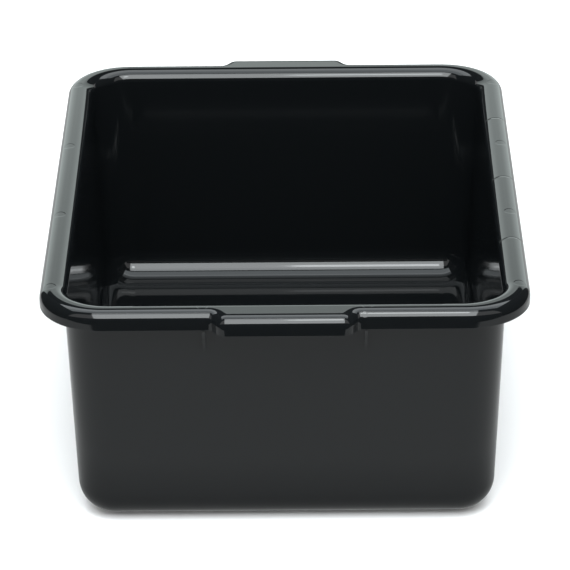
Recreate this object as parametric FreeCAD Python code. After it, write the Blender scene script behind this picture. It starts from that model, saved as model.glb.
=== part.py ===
import FreeCAD, Part
import math
import os

# Bus tub: one moulded piece, an open box with drafted walls and a rolled rim.
# Origin at the middle of the underside. X across the tub, Y along it, Z up. Millimetres.

# Rim, measured over the lip and without the handles
rim_width = 384.0
rim_length = 510.0
tub_height = 199.0
rim_corner = 52.0
rim_overhang = 18.3
roll_radius = 9.7
crown_width = 1.0
lip_straight = 5.6
lip_thickness = 2.6

# Walls and floor
wall_thickness = 3.0
floor_thickness = 3.2
draft_angle = 2.3
wall_corner = 37.0
base_corner_margin = 2.0

# Handles: the rim steps outward in the middle of each short end
handle_step = 11.0
handle_grip_length = 88.0
handle_bend_angle = 55.0
handle_shoulder_margin = 1.0
handle_foot_radius = 4.0

# Gussets under the rim, one at each side of a handle
gusset_thickness = 3.0
gusset_clearance = 2.0
gusset_drop = 19.0
gusset_lift = 1.0

# Shallow panel in the underside, which leaves a flat foot all round
panel_depth = 1.0
panel_corner = 16.0
foot_width = 14.0

# Worked out from the sizes above
lip_edge_z = tub_height - roll_radius - lip_straight
draft_slope = math.tan(math.radians(draft_angle))
rim_half_x = rim_width / 2
rim_half_y = rim_length / 2
wall_half_x = rim_half_x - rim_overhang
wall_half_y = rim_half_y - rim_overhang
base_fillet = wall_corner - tub_height * draft_slope - base_corner_margin
inner_roll_radius = rim_overhang + wall_thickness - roll_radius - crown_width
handle_shoulder_radius = roll_radius + handle_shoulder_margin


def outline(bends, z):
    """A closed plan wire: round bends in order, with straight runs between them.

    A bend is (centre x, centre y, radius, start angle, turn), with angles in degrees.
    """
    arcs = []
    for centre_x, centre_y, radius, start_angle, turn in bends:
        points = []
        for share in (0.0, 0.5, 1.0):
            angle = math.radians(start_angle + turn * share)
            x = centre_x + radius * math.cos(angle)
            y = centre_y + radius * math.sin(angle)
            points.append(FreeCAD.Vector(x, y, z))
        arcs.append(points)
    edges = []
    for points, following in zip(arcs, arcs[1:] + arcs[:1]):
        edges.append(Part.Arc(*points).toShape())
        edges.append(Part.LineSegment(points[-1], following[0]).toShape())
    return Part.Wire(edges)


def half_turned(bends):
    """The same bends turned half way round the Z axis."""
    return [(-x, -y, radius, start + 180.0, turn) for x, y, radius, start, turn in bends]


def rounded_rectangle(half_x, half_y, corner):
    """The bends of a rectangle with round corners."""
    centre_x = half_x - corner
    centre_y = half_y - corner
    end = [(centre_x, centre_y, corner, 0.0, 90.0), (-centre_x, centre_y, corner, 90.0, 90.0)]
    return end + half_turned(end)


def handle_foot_x():
    """How far from the tub's middle line a handle leaves the straight rim."""
    angle = math.radians(handle_bend_angle)
    bends = handle_shoulder_radius + handle_foot_radius
    slant = (handle_step - bends * (1 - math.cos(angle))) / math.sin(angle)
    return handle_grip_length / 2 + bends * math.sin(angle) + slant * math.cos(angle)


def rim_bends(inset):
    """The bends of the whole rim with both handles, at an inset from the lip's outer face."""
    corner = rim_corner - inset
    corner_x = rim_half_x - rim_corner
    corner_y = rim_half_y - rim_corner
    shoulder = handle_shoulder_radius - inset
    shoulder_x = handle_grip_length / 2
    shoulder_y = rim_half_y + handle_step - handle_shoulder_radius
    foot = handle_foot_radius + inset
    foot_x = handle_foot_x()
    foot_y = rim_half_y + handle_foot_radius
    turn = handle_bend_angle
    end = [
        (corner_x, corner_y, corner, 0.0, 90.0),
        (foot_x, foot_y, foot, 270.0, -turn),
        (shoulder_x, shoulder_y, shoulder, 90.0 - turn, turn),
        (-shoulder_x, shoulder_y, shoulder, 90.0, turn),
        (-foot_x, foot_y, foot, 270.0 + turn, -turn),
        (-corner_x, corner_y, corner, 90.0, 90.0),
    ]
    return end + half_turned(end)


def raised(wire, height):
    """A solid raised straight up from a closed plan wire."""
    return Part.Face(wire).extrude(FreeCAD.Vector(0, 0, height))


def edges_at(shape, z, beside=None):
    """The edges of a shape that lie flat at one height, and touch another shape if one is given."""
    found = []
    for edge in shape.Edges:
        box = edge.BoundBox
        level = max(abs(box.ZMin - z), abs(box.ZMax - z)) < 1e-4
        middle = edge.valueAt((edge.FirstParameter + edge.LastParameter) / 2)
        if level and (beside is None or beside.distToShape(Part.Vertex(middle))[0] < 1e-3):
            found.append(edge)
    return found


def flared_block(low_x, low_y, high_x, high_y, bottom_z):
    """A block with flat sides from its half sizes at bottom_z to those at the tub's top."""
    block = Part.makeWedge(
        -low_x, bottom_z, -low_y, -high_y, -high_x,
        low_x, tub_height, low_y, high_y, high_x,
    )
    block.rotate(FreeCAD.Vector(0, 0, 0), FreeCAD.Vector(1, 0, 0), 90)
    return block


def drafted_box(inset, bottom_z):
    """The space inside the walls' outer faces less an inset: flat sides, cones at the corners."""
    drop = tub_height - bottom_z
    high = wall_corner - inset
    low = high - drop * draft_slope
    x = wall_half_x - wall_corner
    y = wall_half_y - wall_corner
    parts = [flared_block(x, y + low, x, y + high, bottom_z)]
    for centre_x, centre_y in ((x, y), (-x, y), (-x, -y), (x, -y)):
        parts.append(Part.makeCone(low, high, drop, FreeCAD.Vector(centre_x, centre_y, bottom_z)))
    box = flared_block(x + low, y, x + high, y, bottom_z).fuse(parts).removeSplitter()
    return box.makeFillet(base_fillet - inset, edges_at(box, bottom_z))


def rolled_rim():
    """The rim's outer form, filled in."""
    slab = raised(outline(rim_bends(0.0), lip_edge_z), tub_height - lip_edge_z)
    return slab.makeFillet(roll_radius, edges_at(slab, tub_height))


def gussets():
    """Four thin ribs from the wall to the lip, each running down the wall to a point."""
    foot_z = lip_edge_z - gusset_drop
    wall_y = wall_half_y - (tub_height - foot_z) * draft_slope
    inside_y = wall_y - wall_thickness / 2
    near_x = handle_foot_x() + gusset_clearance
    profile = [
        FreeCAD.Vector(near_x, inside_y, foot_z),
        FreeCAD.Vector(near_x, wall_y, foot_z),
        FreeCAD.Vector(near_x, rim_half_y, lip_edge_z + gusset_lift),
        FreeCAD.Vector(near_x, rim_half_y, tub_height),
        FreeCAD.Vector(near_x, inside_y, tub_height),
    ]
    face = Part.Face(Part.makePolygon(profile + profile[:1]))
    rib = face.extrude(FreeCAD.Vector(gusset_thickness, 0, 0))
    middle = FreeCAD.Vector(0, 0, 0)
    pair = [rib, rib.mirror(middle, FreeCAD.Vector(1, 0, 0))]
    return pair + [one.mirror(middle, FreeCAD.Vector(0, 1, 0)) for one in pair]


def rim_channel(box, ribs):
    """The hollow under the rim between the ribs: bevelled inside the lip, round beside the wall.

    The bevel touches the middle of the arc that would keep the roll's skin even.
    """
    top_z = tub_height - lip_thickness
    low_z = lip_edge_z - lip_thickness
    bevel = (roll_radius - lip_thickness) * (2 - math.sqrt(2))
    slab = raised(outline(rim_bends(lip_thickness), low_z), top_z - low_z)
    ring = slab.makeChamfer(bevel, edges_at(slab, top_z)).cut(box)
    ring = ring.makeFillet(inner_roll_radius - wall_thickness, edges_at(ring, top_z, box))
    return ring.cut(ribs)


def underside_panel():
    """The shallow recess inside the foot."""
    edge_inset = tub_height * draft_slope + base_fillet + foot_width
    bends = rounded_rectangle(wall_half_x - edge_inset, wall_half_y - edge_inset, panel_corner)
    return raised(outline(bends, 0.0), panel_depth)


def flared_mouth(cavity):
    """The way in at the top of the cavity, which curves out to the rim's crown."""
    reach = inner_roll_radius - wall_thickness + crown_width / 2
    depth = 2 * inner_roll_radius
    bends = rounded_rectangle(wall_half_x + reach, wall_half_y + reach, wall_corner + reach)
    block = raised(outline(bends, tub_height - depth), depth)
    collar = block.cut(cavity)
    collar = collar.makeFillet(inner_roll_radius, edges_at(collar, tub_height, cavity))
    return block.cut(collar)


def tub():
    """The whole tub: rim and box in one, hollowed from above, below the rim and underneath."""
    box = drafted_box(0.0, 0.0)
    rim = rolled_rim()
    ribs = gussets()
    cavity = drafted_box(wall_thickness, floor_thickness)
    hollows = [cavity, flared_mouth(cavity), rim_channel(box, ribs), underside_panel()]
    body = rim.fuse(box).cut(hollows)
    return body.fuse([rib.cut(rim) for rib in ribs])


os.makedirs("parts", exist_ok=True)
tub().exportStep("parts/tub.step")
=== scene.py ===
import math

import bpy
import numpy as np
from mathutils import Matrix, Vector

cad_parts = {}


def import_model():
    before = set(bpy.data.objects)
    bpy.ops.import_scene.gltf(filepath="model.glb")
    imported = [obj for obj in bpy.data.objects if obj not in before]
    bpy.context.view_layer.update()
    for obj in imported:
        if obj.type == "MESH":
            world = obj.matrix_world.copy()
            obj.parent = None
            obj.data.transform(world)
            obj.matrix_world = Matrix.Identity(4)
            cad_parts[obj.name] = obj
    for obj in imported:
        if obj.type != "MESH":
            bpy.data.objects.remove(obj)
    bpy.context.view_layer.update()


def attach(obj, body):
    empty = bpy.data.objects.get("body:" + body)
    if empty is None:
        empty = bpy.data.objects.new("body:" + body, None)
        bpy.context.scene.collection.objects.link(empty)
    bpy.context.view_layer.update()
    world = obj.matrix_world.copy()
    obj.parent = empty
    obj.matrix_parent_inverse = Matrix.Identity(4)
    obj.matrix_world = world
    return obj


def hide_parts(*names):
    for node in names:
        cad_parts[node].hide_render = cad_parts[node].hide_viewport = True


# Bus tub of glossy black plastic. Sizes are in millimetres until the mesh is made.
# Origin at the middle of the underside. X across the tub, Y along it, Z up.

# Rim
RIM_HALF_X = 192.0
RIM_HALF_Y = 255.0
TUB_HEIGHT = 199.0
RIM_CORNER = 52.0
RIM_OVERHANG = 18.3
CROWN_WIDTH = 1.0
ROLL_RADIUS = 9.7
LIP_STRAIGHT = 5.6
LIP_THICKNESS = 2.6
LIP_EDGE_ROUND = 0.6
# Walls and floor
WALL_CORNER = 37.0
WALL_THICKNESS = 3.0
FLOOR_THICKNESS = 3.2
DRAFT_ANGLE = 2.3
BASE_FILLET = 27.0
# Handles
HANDLE_STEP = 11.0
HANDLE_GRIP_HALF = 44.0
HANDLE_BEND_ANGLE = 55.0
SHOULDER_MARGIN = 1.0
FOOT_RADIUS = 4.0
# Gussets
GUSSET_THICKNESS = 3.0
GUSSET_CLEARANCE = 2.0
GUSSET_DROP = 29.0
GUSSET_LIFT = 1.0
GUSSET_ROUND = 0.35
GUSSET_ROOT = 1.0
GUSSET_STEPS = 4
# Panel in the underside, at an inset from the wall's top
PANEL_INSET = 49.0
PANEL_CORNER = 16.0
PANEL_DEPTH = 1.0
PANEL_EDGE_ROUND = 0.4

# How finely the mesh is divided round the plan
CORNER_STEPS = 20
LONG_SIDE_STEPS = 24
SHORT_SIDE_STEPS = 8
BEND_STEPS = 7
SLANT_STEPS = 2
GRIP_STEPS = 12
# How finely it is divided along the section
EDGE_STEPS = 3
FILLET_STEPS = 14
WALL_STEPS = 8
CHANNEL_STEPS = 8
ROLL_STEPS = 12
INNER_ROLL_STEPS = 14

# Plastic. The scales are in waves to the metre, and the heights in millimetres.
PLASTIC_COLOUR = (0.0032, 0.0038, 0.0042, 1.0)
PLASTIC_IOR = 1.43
ROUGHNESS = 0.045
ROUGHNESS_CHANGE = 0.03
WAVE_SCALE = 60.0
WAVE_HEIGHT = 0.03
GRAIN_SCALE = 900.0
GRAIN_HEIGHT = 0.006
RELIEF_STRENGTH = 0.5
# Round marks that the mould's pins left on the crown: X, Y and radius
PIN_MARKS = [(side * 183.3, y, 4.6) for side in (-1, 1) for y in (-205.0, -70.0, 70.0, 205.0)]
PIN_MARKS += [(-63.5, -242.5, 4.6), (64.0, -242.5, 4.6), (61.8, -252.4, 1.6)]
PIN_EDGE = 0.5
PIN_DEPTH = 0.16
# Fine grooves that the mould left across the right-hand rim, at these Y
PARTING_LINES = (123.1, -0.8, -121.2)
PARTING_HALF_WIDTH = 1.1
PARTING_DEPTH = 0.32
PARTING_START_X = 172.0

# Studio, in metres. A corner is (Y, Z) in the tub's long middle plane.
FLOOR_SIZE = 16.0
FLOOR_GAP = 0.0002
FLOOR_COLOUR = (0.80, 0.80, 0.80)
WORLD_RADIANCE = 1.15
KEY_CORNERS = ((-0.31, 1.41), (-1.02, 0.75))
KEY_WIDTH = 0.86
KEY_RADIANCE = 7.2
KEY_COLOUR = (0.95, 1.0, 1.02)
TUBE_CORNERS = ((-0.53, 1.14), (-0.67, 1.00))
TUBE_WIDTH = 0.24
TUBE_RADIANCE = 9.0
TUBE_X = 0.12
OVERHEAD_CORNERS = ((1.35, 2.32), (-0.23, 1.48))
OVERHEAD_WIDTH = 3.0
OVERHEAD_RADIANCE = 3.0
OVERHEAD_COLOUR = (0.88, 0.96, 1.0)
# Backdrop, whose glow changes from one height to its top
BACKDROP_Y = 3.00
BACKDROP_TOP = 1.88
BACKDROP_WIDTH = 6.0
BACKDROP_COLOUR = (0.90, 1.0, 0.98)
BACKDROP_FADE_START = 1.20
BACKDROP_GLOW = (1.70, 1.35)
# Table, whose glow changes with the distance from the tub's foot: painted shade, dimmest at the
# foot where the tub's contact shadow would fall
TABLE_ENDS = (-0.60, 3.00)
TABLE_Z = -0.0001
TABLE_WIDTH = 4.0
TABLE_COLOUR = (0.97, 1.0, 1.0)
TABLE_FOOT_HALF = (0.14, 0.20, 0.0)
TABLE_PAINTED_SHADE_REACH = 0.12
TABLE_PAINTED_SHADE_TO_GLOW = (0.30, 0.82)
# Black cards, seen only in reflections, which paint dark reflections on parts of the rim and the
# inside and cast no shadow: corners and width
BLACK = (0.01, 0.01, 0.01)
BLACK_CARDS = {
    "rear_card": (((BACKDROP_Y, BACKDROP_TOP), (1.35, 2.34)), BACKDROP_WIDTH),
    "gap_card": (((0.30, 1.95), (-0.80, 1.75)), 3.0),
    "low_card": (((0.45, 0.20), (0.45, 0.262)), 0.30),
    "inside_card": (((-0.275, 0.31), (-0.275, 0.375)), 0.60),
    "front_card": (((-0.60, 0.0), (-0.60, 0.43), (-1.01, 0.735)), 1.8),
}
SIDE_CARDS = {"left_card": -0.9, "right_card": 0.9}
SIDE_CARD_ENDS = (-0.60, 0.90)
SIDE_CARD_HEIGHT = 1.3

# Camera: angles in degrees, lengths in metres, and the focal length in the photo's pixels
CAMERA_PITCH = 25.716
CAMERA_YAW = 0.299
CAMERA_ROLL = -0.5575
CAMERA_TARGET = (-0.00081, 0.0, 0.09973)
CAMERA_DISTANCE = 2.986
FOCAL_PIXELS = 3535.0
PICTURE_PIXELS = 570.0
SENSOR_WIDTH = 36.0
CLIP_RANGE = (0.1, 50.0)

# Worked out from the sizes above
MM = 0.001
LIP_EDGE_Z = TUB_HEIGHT - ROLL_RADIUS - LIP_STRAIGHT
INNER_ROLL_RADIUS = RIM_OVERHANG + WALL_THICKNESS - ROLL_RADIUS - CROWN_WIDTH
SHOULDER_RADIUS = ROLL_RADIUS + SHOULDER_MARGIN
WALL_HALF_X = RIM_HALF_X - RIM_OVERHANG
WALL_HALF_Y = RIM_HALF_Y - RIM_OVERHANG
PANEL_HALF_X = WALL_HALF_X - PANEL_INSET
PANEL_HALF_Y = WALL_HALF_Y - PANEL_INSET
DRAFT = math.radians(DRAFT_ANGLE)
SLOPE = math.tan(DRAFT)
CORNER_X = WALL_HALF_X - WALL_CORNER
CORNER_Y = WALL_HALF_Y - WALL_CORNER


# Plan stations, which every ring of the mesh shares

def handle_foot_x():
    """How far from the middle line a handle leaves the straight rim."""
    angle = math.radians(HANDLE_BEND_ANGLE)
    bends = SHOULDER_RADIUS + FOOT_RADIUS
    slant = (HANDLE_STEP - bends * (1 - math.cos(angle))) / math.sin(angle)
    return HANDLE_GRIP_HALF + bends * math.sin(angle) + slant * math.cos(angle)


def arc_stations(centre, radius, start, turn, steps):
    """Points and outward directions along a plan arc, a negative turn being a hollow bend."""
    angles = np.radians(start + turn * np.arange(steps + 1) / steps)
    ways = np.stack([np.cos(angles), np.sin(angles)], 1)
    points = np.array(centre) + radius * ways
    return points, ways if turn > 0 else -ways


def half_end_stations():
    """The rim's stations over half of the rear end, from the corner to the middle line."""
    bend = HANDLE_BEND_ANGLE
    foot_x = handle_foot_x()
    corner_centre = (RIM_HALF_X - RIM_CORNER, RIM_HALF_Y - RIM_CORNER)
    corner = arc_stations(corner_centre, RIM_CORNER, 0.0, 90.0, CORNER_STEPS)
    foot_centre = (foot_x, RIM_HALF_Y + FOOT_RADIUS)
    foot = arc_stations(foot_centre, FOOT_RADIUS, 270.0, -bend, BEND_STEPS)
    shoulder_centre = (HANDLE_GRIP_HALF, RIM_HALF_Y + HANDLE_STEP - SHOULDER_RADIUS)
    shoulder = arc_stations(shoulder_centre, SHOULDER_RADIUS, 90.0 - bend, bend, BEND_STEPS)
    middle = (np.array([[0.0, RIM_HALF_Y + HANDLE_STEP]]), np.array([[0.0, 1.0]]))
    runs = [(corner, SHORT_SIDE_STEPS), (foot, SLANT_STEPS), (shoulder, GRIP_STEPS), (middle, 0)]
    points, ways = [], []
    for index, (run, steps) in enumerate(runs):
        points.extend(run[0])
        ways.extend(run[1])
        for step in range(1, steps):
            share = step / steps
            points.append(run[0][-1] * (1 - share) + runs[index + 1][0][0][0] * share)
            ways.append(run[1][-1])
    return np.array(points), np.array(ways)


def whole_plan(points, ways):
    """Half of an end made into the whole plan, by two mirrorings and the long sides."""
    flip_x = np.array([-1.0, 1.0])
    flip_y = np.array([1.0, -1.0])
    end = (np.concatenate([points, (points * flip_x)[-2::-1]]),
           np.concatenate([ways, (ways * flip_x)[-2::-1]]))
    other = ((end[0] * flip_y)[::-1], (end[1] * flip_y)[::-1])
    plan_points, plan_ways = [], []
    for this, following in ((end, other), (other, end)):
        plan_points.extend(this[0])
        plan_ways.extend(this[1])
        for step in range(1, LONG_SIDE_STEPS):
            share = step / LONG_SIDE_STEPS
            plan_points.append(this[0][-1] * (1 - share) + following[0][0] * share)
            plan_ways.append(this[1][-1])
    return np.array(plan_points), np.array(plan_ways)


def wall_half_end(rim_points, reference_inset, rim_ways):
    """Wall stations over half of an end that keep step with the rim's stations."""
    shifted = rim_points - reference_inset * rim_ways
    scale = CORNER_X / (RIM_HALF_X - RIM_CORNER)
    bases, ways = [], []
    for index, point in enumerate(shifted):
        if index <= CORNER_STEPS:
            bases.append((CORNER_X, CORNER_Y))
            ways.append(rim_ways[index])
        else:
            bases.append((point[0] * scale, CORNER_Y))
            ways.append((0.0, 1.0))
    return np.array(bases), np.array(ways)


# Rings: each is (points, normals), with one entry for each station

class Plan:
    """The stations of the rim, the walls and the underside's panel."""

    def __init__(self):
        rim_points, rim_ways = half_end_stations()
        bases, ways = wall_half_end(rim_points, ROLL_RADIUS, rim_ways)
        self.rim, self.rim_ways = whole_plan(rim_points, rim_ways)
        self.bases, self.wall_ways = whole_plan(bases, ways)
        self.count = len(self.rim)
        panel_x = (PANEL_HALF_X - PANEL_CORNER) / CORNER_X
        panel_y = (PANEL_HALF_Y - PANEL_CORNER) / CORNER_Y
        self.panel_bases = self.bases * np.array([panel_x, panel_y])

    def ring(self, family, offset, z, tilt):
        """A ring at an offset on one family of paths, with its normal tilted up from level."""
        if family == "rim":
            flat, ways = self.rim - offset * self.rim_ways, self.rim_ways
        elif family == "wall":
            flat, ways = self.bases + offset * self.wall_ways, self.wall_ways
        else:
            flat, ways = self.panel_bases + offset * self.wall_ways, self.wall_ways
        points = np.column_stack([flat, np.full(self.count, z)])
        lift = math.sin(math.radians(tilt))
        spread = math.cos(math.radians(tilt))
        normals = np.column_stack([ways * spread, np.full(self.count, lift)])
        return points, normals

    def arc(self, family, centre, z, radius, start, turn, steps, hollow=False):
        """Rings round a small arc of the section, whose normals point out of the plastic."""
        side = -1.0 if family == "rim" else 1.0
        rings = []
        for step in range(steps + 1):
            angle = start + turn * step / steps
            offset = centre + side * radius * math.cos(math.radians(angle))
            height = z + radius * math.sin(math.radians(angle))
            tilt = angle + 180.0 if hollow else angle
            rings.append(self.ring(family, offset, height, tilt))
        return rings

    def between(self, first, last, steps):
        """Rings evenly spaced between two others, without the two themselves."""
        rings = []
        for step in range(1, steps):
            share = step / steps
            rings.append((first[0] * (1 - share) + last[0] * share, first[1]))
        return rings


def fillet_centre(radius_low, z_low, fillet):
    """Centre of a fillet between a level face at z_low and a wall leaning outwards above it."""
    return radius_low - fillet * (1 - math.sin(DRAFT)) / math.cos(DRAFT), z_low + fillet


def inner_roll_centre():
    """How far the inner roll's centre lies out from the corner axes."""
    inner = WALL_CORNER - WALL_THICKNESS
    return inner - INNER_ROLL_RADIUS * SLOPE + INNER_ROLL_RADIUS / math.cos(DRAFT)


def tub_rings(plan):
    """The tub's skin from the underside's panel, round the rim, to the floor inside."""
    rings = []
    edge = PANEL_EDGE_ROUND
    rings += plan.arc("panel", PANEL_CORNER - edge, PANEL_DEPTH - edge, edge, 90.0, -90.0,
                      EDGE_STEPS, True)
    rings += plan.arc("panel", PANEL_CORNER + edge, edge, edge, 180.0, 90.0, EDGE_STEPS)
    low = WALL_CORNER - TUB_HEIGHT * SLOPE
    centre, z = fillet_centre(low, 0.0, BASE_FILLET)
    rings += plan.arc("wall", centre, z, BASE_FILLET, -90.0, 90.0 - DRAFT_ANGLE, FILLET_STEPS)

    # Channel under the rim
    ceiling = TUB_HEIGHT - LIP_THICKNESS
    hollow = INNER_ROLL_RADIUS - WALL_THICKNESS
    z = ceiling - hollow
    centre = WALL_CORNER - (TUB_HEIGHT - z) * SLOPE + hollow / math.cos(DRAFT)
    under = plan.arc("wall", centre, z, hollow, 180.0 - DRAFT_ANGLE, DRAFT_ANGLE - 90.0,
                     CHANNEL_STEPS, True)
    rings += plan.between(rings[-1], under[0], WALL_STEPS) + under
    roll_z = TUB_HEIGHT - ROLL_RADIUS
    inside = ROLL_RADIUS - LIP_THICKNESS
    rings += plan.arc("rim", ROLL_RADIUS, roll_z, inside, 90.0, -90.0, CHANNEL_STEPS, True)

    # Lip and outer roll
    edge = LIP_EDGE_ROUND
    edge_z = LIP_EDGE_Z + edge
    rings += plan.arc("rim", LIP_THICKNESS - edge, edge_z, edge, 180.0, 90.0, EDGE_STEPS)
    rings += plan.arc("rim", edge, edge_z, edge, 270.0, 90.0, EDGE_STEPS)
    rings += plan.arc("rim", ROLL_RADIUS, roll_z, ROLL_RADIUS, 0.0, 90.0, ROLL_STEPS)

    # Inner roll, inside of the wall and inner base fillet
    z = TUB_HEIGHT - INNER_ROLL_RADIUS
    centre = inner_roll_centre()
    rings += plan.arc("wall", centre, z, INNER_ROLL_RADIUS, 90.0, 90.0 - DRAFT_ANGLE,
                      INNER_ROLL_STEPS)
    low = WALL_CORNER - WALL_THICKNESS - (TUB_HEIGHT - FLOOR_THICKNESS) * SLOPE
    fillet = BASE_FILLET - WALL_THICKNESS
    centre, z = fillet_centre(low, FLOOR_THICKNESS, fillet)
    base = plan.arc("wall", centre, z, fillet, -DRAFT_ANGLE, DRAFT_ANGLE - 90.0,
                    FILLET_STEPS, True)
    rings += plan.between(rings[-1], base[0], WALL_STEPS) + base
    return rings


# Faces

class Skin:
    """Vertices, faces and a normal for every face corner, gathered piece by piece."""

    def __init__(self):
        self.points = []
        self.faces = []
        self.normals = []

    def add_points(self, points):
        """Adds vertices and returns the number of the first."""
        first = len(self.points)
        self.points.extend(points)
        return first

    def add_face(self, corners, normals):
        """Adds a face with a normal for each of its corners."""
        self.faces.append(tuple(corners))
        self.normals.extend(normals)


def add_rings(skin, rings):
    """Quads between one ring and the next; returns the first vertex of every ring."""
    count = len(rings[0][0])
    firsts = [skin.add_points(points) for points, normals in rings]
    for k in range(len(rings) - 1):
        for j in range(count):
            n = (j + 1) % count
            corners = (firsts[k] + j, firsts[k] + n, firsts[k + 1] + n, firsts[k + 1] + j)
            normals = (rings[k][1][j], rings[k][1][n], rings[k + 1][1][n], rings[k + 1][1][j])
            skin.add_face(corners, normals)
    return firsts


def ring_sides(plan):
    """The stations along the rear, left, front and right of a ring, cut mid-way in each corner."""
    half = CORNER_STEPS // 2
    total = plan.count
    end_count = (total - 2 * (LONG_SIDE_STEPS - 1)) // 2
    across = end_count - 1 - 2 * half
    along = LONG_SIDE_STEPS + 2 * half
    start = half
    top = [(start + i) % total for i in range(across + 1)]
    left = [(top[-1] + i) % total for i in range(along + 1)]
    bottom = [(left[-1] + i) % total for i in range(across + 1)]
    right = [(bottom[-1] + i) % total for i in range(along + 1)]
    return top, left, bottom, right


def add_grid(skin, plan, ring, first, facing):
    """A flat grid of quads inside a ring, facing up for 1 and down for -1."""
    top, left, bottom, right = ring_sides(plan)
    across, along = len(top) - 1, len(left) - 1
    points = ring[0]
    index = np.zeros((along + 1, across + 1), int)
    index[0] = [first + j for j in top]
    index[-1] = [first + j for j in bottom[::-1]]
    index[:, -1] = [first + j for j in left]
    index[:, 0] = [first + j for j in right[::-1]]
    for row in range(1, along):
        v = row / along
        for column in range(1, across):
            u = column / across
            edge = ((1 - v) * points[top[column]] + v * points[bottom[across - column]]
                    + (1 - u) * points[right[along - row]] + u * points[left[row]])
            corner = ((1 - u) * (1 - v) * points[top[0]] + u * (1 - v) * points[top[-1]]
                      + u * v * points[bottom[0]] + (1 - u) * v * points[bottom[-1]])
            index[row, column] = skin.add_points([edge - corner])
    normal = (0.0, 0.0, facing)
    for row in range(along):
        for column in range(across):
            corners = (index[row, column], index[row, column + 1],
                       index[row + 1, column + 1], index[row + 1, column])
            skin.add_face(corners if facing > 0 else corners[::-1], [normal] * 4)


def face_normal(points):
    """Unit normal of a polygon."""
    total = np.zeros(3)
    for here, after in zip(points, points[1:] + points[:1]):
        total += np.cross(here, after)
    return total / np.linalg.norm(total)


def add_outward(skin, corners, middle):
    """A flat face turned to look away from a middle point."""
    points = [np.array(skin.points[corner]) for corner in corners]
    normal = face_normal(points)
    if np.dot(normal, np.mean(points, 0) - middle) < 0:
        corners = corners[::-1]
        normal = -normal
    skin.add_face(corners, [normal] * len(corners))


def gusset_outline(depth):
    """The side view of a gusset, with its free edge moved in by a depth and the rest buried."""
    foot_z = LIP_EDGE_Z - GUSSET_DROP
    wall_y = WALL_HALF_Y - (TUB_HEIGHT - foot_z) * SLOPE
    low = np.array([wall_y, foot_z])
    run = np.array([RIM_HALF_Y, LIP_EDGE_Z + GUSSET_LIFT]) - low
    run = run / np.linalg.norm(run)
    shift = depth * np.array([-run[1], run[0]])
    high = low + run * (RIM_HALF_Y - LIP_THICKNESS / 2 - wall_y) / run[0]
    outline = [(wall_y - WALL_THICKNESS / 2, foot_z - GUSSET_ROOT), low + shift, high + shift]
    roll = ROLL_RADIUS - LIP_THICKNESS / 2
    inner = INNER_ROLL_RADIUS - WALL_THICKNESS / 2
    inner_y = CORNER_Y + inner_roll_centre()
    arcs = ((RIM_HALF_Y - ROLL_RADIUS, TUB_HEIGHT - ROLL_RADIUS, roll, 0.0, 90.0),
            (inner_y, TUB_HEIGHT - INNER_ROLL_RADIUS, inner, 90.0, 90.0 - DRAFT_ANGLE))
    for y, z, radius, start, turn in arcs:
        for step in range(GUSSET_STEPS + 1):
            angle = math.radians(start + turn * step / GUSSET_STEPS)
            outline.append((y + radius * math.cos(angle), z + radius * math.sin(angle)))
    return outline


def gusset_skin():
    """One thin rib with a rounded free edge, centred on the tub's middle plane."""
    skin = Skin()
    half = GUSSET_THICKNESS / 2
    slices = []
    for side in (-1, 1):
        for step in range(GUSSET_STEPS + 1):
            share = step if side < 0 else GUSSET_STEPS - step
            angle = math.radians(90.0 * share / GUSSET_STEPS)
            x = side * (half - GUSSET_ROUND * (1 - math.cos(angle)))
            outline = gusset_outline(GUSSET_ROUND * (1 - math.sin(angle)))
            slices.append(skin.add_points([np.array([x, y, z]) for y, z in outline]))
    middle = np.mean(skin.points, 0)
    count = len(outline)
    for first, following in zip(slices, slices[1:]):
        for j in range(count):
            n = (j + 1) % count
            add_outward(skin, [first + j, first + n, following + n, following + j], middle)
    for first in (slices[0], slices[-1]):
        add_outward(skin, [first + j for j in range(count)], middle)
    return skin


def skin_object(skin, name, material):
    """A mesh object in metres from a skin, with its corner normals kept."""
    mesh = bpy.data.meshes.new(name)
    points = [tuple(float(c) * MM for c in point) for point in skin.points]
    mesh.from_pydata(points, [], skin.faces)
    mesh.polygons.foreach_set("use_smooth", [True] * len(mesh.polygons))
    mesh.normals_split_custom_set([tuple(float(c) for c in normal) for normal in skin.normals])
    mesh.materials.append(material)
    mesh.update()
    obj = bpy.data.objects.new(name, mesh)
    bpy.context.scene.collection.objects.link(obj)
    return obj


# Nodes and their maths

class Sock:
    """A node's socket or a number that can be added, multiplied and so on."""

    def __init__(self, tree, value):
        self.tree = tree
        self.value = value.value if isinstance(value, Sock) else value

    def maths(self, operation, *others):
        """A Math node on this value and others."""
        return node(self.tree, "ShaderNodeMath", 0, {"operation": operation}, (self, *others))

    def __add__(self, other):
        return self.maths("ADD", other)

    def __sub__(self, other):
        return self.maths("SUBTRACT", other)

    def __rsub__(self, other):
        return Sock(self.tree, other).maths("SUBTRACT", self)

    def __mul__(self, other):
        return self.maths("MULTIPLY", other)

    __radd__ = __add__
    __rmul__ = __mul__


def feed(tree, socket, value):
    """Sets or links a socket."""
    if isinstance(value, Sock):
        value = value.value
    if isinstance(value, bpy.types.NodeSocket):
        tree.links.new(value, socket)
    else:
        socket.default_value = value


def node(tree, kind, output=0, settings=None, values=(), **inputs):
    """Adds a node, sets it up, feeds its first sockets and named ones, and returns an output."""
    made = tree.nodes.new(kind)
    for key, value in (settings or {}).items():
        setattr(made, key, value)
    for socket, value in zip(made.inputs, values):
        feed(tree, socket, value)
    for key, value in inputs.items():
        feed(tree, made.inputs[key.replace("_", " ")], value)
    return Sock(tree, made.outputs[output])


def dip(tree, distance, start, end, depth):
    """A height of minus depth where distance is below start, rising smoothly to zero at end."""
    return node(tree, "ShaderNodeMapRange", settings={"interpolation_type": "SMOOTHSTEP"},
                Value=distance, From_Min=start, From_Max=end, To_Min=-depth, To_Max=0.0)


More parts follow.
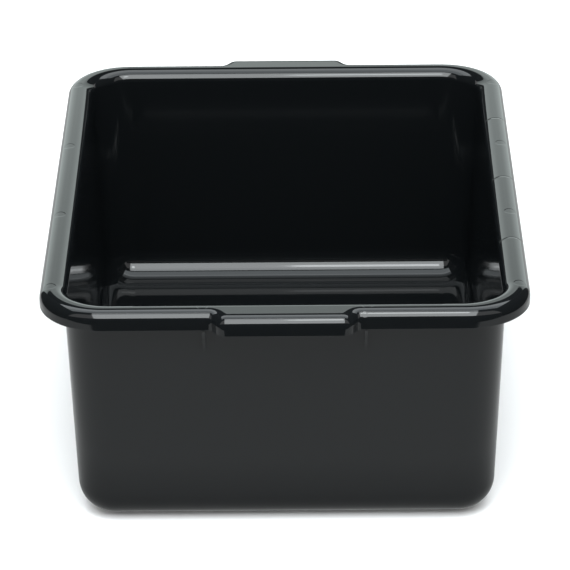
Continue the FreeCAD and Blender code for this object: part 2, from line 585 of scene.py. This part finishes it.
def black_plastic():
    """Glossy black plastic with a faint waviness, and the mould's marks as relief."""
    material = bpy.data.materials.new("black_plastic")
    material.use_nodes = True
    tree = material.node_tree
    shader = tree.nodes["Principled BSDF"]
    shader.inputs["Base Color"].default_value = PLASTIC_COLOUR
    shader.inputs["IOR"].default_value = PLASTIC_IOR
    place = node(tree, "ShaderNodeTexCoord", "Object")
    x = node(tree, "ShaderNodeSeparateXYZ", "X", Vector=place)
    y = node(tree, "ShaderNodeSeparateXYZ", "Y", Vector=place)
    wave = node(tree, "ShaderNodeTexNoise", Vector=place, Scale=WAVE_SCALE, Detail=1.0)
    grain = node(tree, "ShaderNodeTexNoise", Vector=place, Scale=GRAIN_SCALE, Detail=2.0)
    height = WAVE_HEIGHT * wave + GRAIN_HEIGHT * grain
    for mark_x, mark_y, radius in PIN_MARKS:
        dx = x - mark_x * MM
        dy = y - mark_y * MM
        reach = (dx * dx + dy * dy).maths("SQRT")
        edges = ((radius - PIN_EDGE) * MM, (radius + PIN_EDGE) * MM)
        height = height + dip(tree, reach, *edges, PIN_DEPTH)
    right = x.maths("GREATER_THAN", PARTING_START_X * MM)
    for line_y in PARTING_LINES:
        reach = (y - line_y * MM).maths("ABSOLUTE")
        groove = dip(tree, reach, 0.0, PARTING_HALF_WIDTH * MM, PARTING_DEPTH)
        height = height + right * groove
    feed(tree, shader.inputs["Roughness"], ROUGHNESS + ROUGHNESS_CHANGE * wave)
    bump = node(tree, "ShaderNodeBump", Height=height, Distance=MM, Strength=RELIEF_STRENGTH)
    feed(tree, shader.inputs["Normal"], bump)
    return material


# Gussets, one at each side of a handle

def gusset_tree(material):
    """Places four copies of a rib: two beside one handle, and two more half a turn round."""
    tree = bpy.data.node_groups.new("gusset_pairs", "GeometryNodeTree")
    tree.interface.new_socket("Rib", in_out="INPUT", socket_type="NodeSocketGeometry")
    tree.interface.new_socket("Distance from middle", in_out="INPUT",
                              socket_type="NodeSocketFloat")
    tree.interface.new_socket("Ribs", in_out="OUTPUT", socket_type="NodeSocketGeometry")
    rib = node(tree, "NodeGroupInput")
    distance = Sock(tree, rib.value.node.outputs["Distance from middle"])
    start = node(tree, "ShaderNodeCombineXYZ", X=distance * -1.0)
    span = node(tree, "ShaderNodeCombineXYZ", X=distance * 2.0)
    places = node(tree, "GeometryNodeMeshLine", Count=2, Start_Location=start, Offset=span)
    pair = node(tree, "GeometryNodeInstanceOnPoints", Points=places, Instance=rib)
    turned = node(tree, "GeometryNodeTransform", Geometry=pair, Rotation=(0.0, 0.0, math.pi))
    both = node(tree, "GeometryNodeJoinGeometry", Geometry=pair)
    feed(tree, both.value.node.inputs["Geometry"], turned)
    solid = node(tree, "GeometryNodeRealizeInstances", Geometry=both)
    finished = node(tree, "GeometryNodeSetMaterial", Geometry=solid, Material=material)
    output = tree.nodes.new("NodeGroupOutput")
    feed(tree, output.inputs["Ribs"], finished)
    return tree


def build_gussets(material):
    """The four ribs as one plain mesh."""
    ribs = skin_object(gusset_skin(), "tub_gussets", material)
    modifier = ribs.modifiers.new("gusset_pairs", "NODES")
    modifier.node_group = gusset_tree(material)
    sockets = {item.name: item.identifier for item in modifier.node_group.interface.items_tree}
    distance = handle_foot_x() + GUSSET_CLEARANCE + GUSSET_THICKNESS / 2
    modifier[sockets["Distance from middle"]] = distance * MM
    evaluated = ribs.evaluated_get(bpy.context.evaluated_depsgraph_get())
    mesh = bpy.data.meshes.new_from_object(evaluated)
    ribs.modifiers.clear()
    ribs.data = mesh
    return ribs


# Stage, lights and camera

def plain_material(name, colour, roughness=0.6):
    """A plain material of one colour."""
    material = bpy.data.materials.new(name)
    material.use_nodes = True
    shader = material.node_tree.nodes["Principled BSDF"]
    shader.inputs["Base Color"].default_value = (*colour, 1.0)
    shader.inputs["Roughness"].default_value = roughness
    return material


def floor():
    """A wide pale floor just under the tub."""
    half = FLOOR_SIZE / 2
    mesh = bpy.data.meshes.new("floor")
    signs = ((-1, -1), (1, -1), (1, 1), (-1, 1))
    corners = [(half * x, half * y, -FLOOR_GAP) for x, y in signs]
    mesh.from_pydata(corners, [], [(0, 1, 2, 3)])
    mesh.materials.append(plain_material("pale_floor", FLOOR_COLOUR))
    obj = bpy.data.objects.new("floor", mesh)
    bpy.context.scene.collection.objects.link(obj)


def panel_light(name, corners, width, radiance, colour, middle_x=0.0):
    """A panel of light between two corners of the YZ plane, facing the tub."""
    a, b = (Vector((middle_x, *corner)) for corner in corners)
    along = (b - a).normalized()
    across = Vector((1.0, 0.0, 0.0))
    facing = across.cross(along)
    if facing.dot(-(a + b) / 2) < 0:
        facing = -facing
    data = bpy.data.lights.new(name, "AREA")
    data.shape = "RECTANGLE"
    data.size = width
    data.size_y = (b - a).length
    data.energy = radiance * math.pi * data.size * data.size_y
    data.color = colour
    obj = bpy.data.objects.new(name, data)
    obj.visible_camera = False
    z_axis = -facing
    y_axis = z_axis.cross(across)
    turn = Matrix((across, y_axis, z_axis)).transposed()
    obj.matrix_world = Matrix.Translation((a + b) / 2) @ turn.to_4x4()
    bpy.context.scene.collection.objects.link(obj)


def studio_card(name, edge_a, edge_b, material):
    """A card that shows only in reflections, stretched between two lines of points."""
    count = len(edge_a)
    faces = [(k, k + 1, count + k + 1, count + k) for k in range(count - 1)]
    mesh = bpy.data.meshes.new(name)
    mesh.from_pydata([*edge_a, *edge_b], [], faces)
    mesh.materials.append(material)
    obj = bpy.data.objects.new(name, mesh)
    obj.visible_camera = False
    obj.visible_diffuse = False
    obj.visible_shadow = False
    bpy.context.scene.collection.objects.link(obj)


def strip_card(name, corners, width, material):
    """A studio card that runs along corners in the YZ plane."""
    half = width / 2
    edges = [[(x, y, z) for y, z in corners] for x in (-half, half)]
    studio_card(name, *edges, material)


def glow_material(name, colour):
    """A plain glow, with its tree and its emission node for a varying strength."""
    material = bpy.data.materials.new(name)
    material.use_nodes = True
    tree = material.node_tree
    tree.nodes.clear()
    light = node(tree, "ShaderNodeEmission", Color=(*colour, 1.0))
    output = tree.nodes.new("ShaderNodeOutputMaterial")
    feed(tree, output.inputs["Surface"], light)
    return material, tree, light.value.node


def fade(tree, value, start, end, levels):
    """Runs between two levels while a value runs from start to end."""
    return node(tree, "ShaderNodeMapRange", Value=value, From_Min=start, From_Max=end,
                To_Min=levels[0], To_Max=levels[1])


def backdrop_glow():
    """A pale glow that fades out towards the top of the backdrop."""
    material, tree, light = glow_material("backdrop_glow", BACKDROP_COLOUR)
    place = node(tree, "ShaderNodeTexCoord", "Object")
    height = node(tree, "ShaderNodeSeparateXYZ", "Z", Vector=place)
    strength = fade(tree, height, BACKDROP_FADE_START, BACKDROP_TOP, BACKDROP_GLOW)
    feed(tree, light.inputs["Strength"], strength)
    return material


def table_glow_with_painted_shade():
    """The table as the walls reflect it, with painted shade: darker towards the tub's foot."""
    material, tree, light = glow_material("table_glow_with_painted_shade", TABLE_COLOUR)
    kind = "ShaderNodeVectorMath"
    place = node(tree, "ShaderNodeTexCoord", "Object")
    apart = node(tree, kind, 0, {"operation": "ABSOLUTE"}, (place,))
    outside = node(tree, kind, 0, {"operation": "SUBTRACT"}, (apart, TABLE_FOOT_HALF))
    beyond = node(tree, kind, 0, {"operation": "MAXIMUM"}, (outside,))
    reach = node(tree, kind, "Value", {"operation": "LENGTH"}, (beyond,))
    # painted shade: the glow is dimmed near the tub's foot in place of its contact shadow
    strength = fade(tree, reach, 0.0, TABLE_PAINTED_SHADE_REACH, TABLE_PAINTED_SHADE_TO_GLOW)
    feed(tree, light.inputs["Strength"], strength)
    return material


def world():
    """Even white light from all round."""
    made = bpy.data.worlds.new("studio")
    made.use_nodes = True
    background = made.node_tree.nodes["Background"]
    background.inputs["Color"].default_value = (1.0, 1.0, 1.0, 1.0)
    background.inputs["Strength"].default_value = WORLD_RADIANCE
    bpy.context.scene.world = made


def camera():
    """The photograph's camera, looking down over the front handle."""
    pitch = math.radians(CAMERA_PITCH)
    yaw = math.radians(CAMERA_YAW)
    roll = math.radians(CAMERA_ROLL)
    reach = math.cos(pitch)
    back = Vector((math.sin(yaw) * reach, -math.cos(yaw) * reach, math.sin(pitch)))
    level = (-back).cross(Vector((0.0, 0.0, 1.0))).normalized()
    up = level.cross(-back)
    right = math.cos(roll) * level + math.sin(roll) * up
    up = back.cross(right)
    turn = Matrix((right, up, back)).transposed()
    data = bpy.data.cameras.new("camera")
    data.sensor_width = SENSOR_WIDTH
    data.lens = FOCAL_PIXELS / PICTURE_PIXELS * SENSOR_WIDTH
    data.clip_start, data.clip_end = CLIP_RANGE
    obj = bpy.data.objects.new("camera", data)
    place = Vector(CAMERA_TARGET) + back * CAMERA_DISTANCE
    obj.matrix_world = Matrix.Translation(place) @ turn.to_4x4()
    bpy.context.scene.collection.objects.link(obj)
    bpy.context.scene.camera = obj


def lights():
    """The softbox, the bright tube just in front of it, and the panel overhead."""
    panel_light("key_softbox", KEY_CORNERS, KEY_WIDTH, KEY_RADIANCE, KEY_COLOUR)
    panel_light("key_tube", TUBE_CORNERS, TUBE_WIDTH, TUBE_RADIANCE, KEY_COLOUR, TUBE_X)
    panel_light("overhead_panel", OVERHEAD_CORNERS, OVERHEAD_WIDTH, OVERHEAD_RADIANCE,
                OVERHEAD_COLOUR)


def cards():
    """Glowing and black cards that the plastic reflects."""
    backdrop = ((BACKDROP_Y, 0.0), (BACKDROP_Y, BACKDROP_TOP))
    strip_card("backdrop", backdrop, BACKDROP_WIDTH, backdrop_glow())
    # the black cards paint dark reflections only: they cast no shadow and block no light
    black = plain_material("black_card", BLACK, 1.0)
    for name, (corners, width) in BLACK_CARDS.items():
        strip_card(name, corners, width, black)
    for name, x in SIDE_CARDS.items():
        edges = [[(x, y, z) for y in SIDE_CARD_ENDS] for z in (0.0, SIDE_CARD_HEIGHT)]
        studio_card(name, *edges, black)
    strip_card("table_card", [(y, TABLE_Z) for y in TABLE_ENDS], TABLE_WIDTH, table_glow_with_painted_shade())


def build_tub(material):
    """The tub's skin, closed by a flat grid below and one on the floor inside."""
    plan = Plan()
    rings = tub_rings(plan)
    skin = Skin()
    firsts = add_rings(skin, rings)
    add_grid(skin, plan, rings[0], firsts[0], -1.0)
    add_grid(skin, plan, rings[-1], firsts[-1], 1.0)
    return skin_object(skin, "tub_moulding", material)


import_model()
plastic = black_plastic()
for piece in (build_tub(plastic), build_gussets(plastic)):
    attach(piece, "root")
    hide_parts("tub")
floor()
lights()
cards()
world()
bpy.context.scene.view_settings.view_transform = "Standard"
camera()
